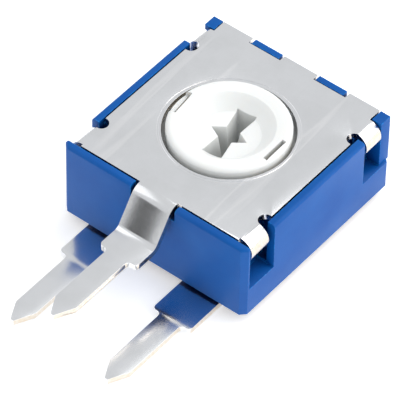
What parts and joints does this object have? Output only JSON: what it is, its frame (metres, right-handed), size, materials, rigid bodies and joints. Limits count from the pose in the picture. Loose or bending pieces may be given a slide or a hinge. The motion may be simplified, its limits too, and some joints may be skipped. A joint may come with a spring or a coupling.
{
  "type": "trimmer potentiometer",
  "caption": "Square single-turn carbon trimmer potentiometer with a moulded housing, folded metal cover plate, recessed screwdriver rotor and flat board pins.",
  "frame": {"origin": "on the rotor's axis, level with the back face of the moulded housing", "axes": "+Z out of the rotor's face along its axis, -Y along the terminals away from the housing, +X to the right when looking at the rotor with the terminals pointing down"},
  "size_m": [0.0098, 0.0165, 0.0048],
  "materials": {
    "blue_moulding": "satin moulded thermoplastic",
    "tinned_sheet": "tin-plated steel sheet, satin with fine handling marks",
    "laminate": "phenolic paper laminate",
    "carbon_ink": "printed carbon film",
    "silver_ink": "printed conducting film",
    "tinned_rivet": "tin-plated",
    "white_moulding": "smooth white thermoplastic",
    "spring_bronze": "bare spring bronze"
  },
  "bodies": {
    "case": {"housing": "blue_moulding", "cover_plate": "tinned_sheet", "track_board": "laminate", "carbon_track": "carbon_ink", "left_track_pad": "silver_ink", "right_track_pad": "silver_ink", "left_end_terminal": "tinned_sheet", "right_end_terminal": "tinned_sheet", "left_rivet": "tinned_rivet", "right_rivet": "tinned_rivet"},
    "rotor": {"rotor": "white_moulding", "wiper_spring": "spring_bronze"}
  },
  "joints": [
    {"name": "rotor_turn", "type": "hinge", "parent": "case", "child": "rotor", "pos_m": [0, 0, 0], "axis": [0, 0, 1], "range_deg": [-126, 114]}
  ]
}
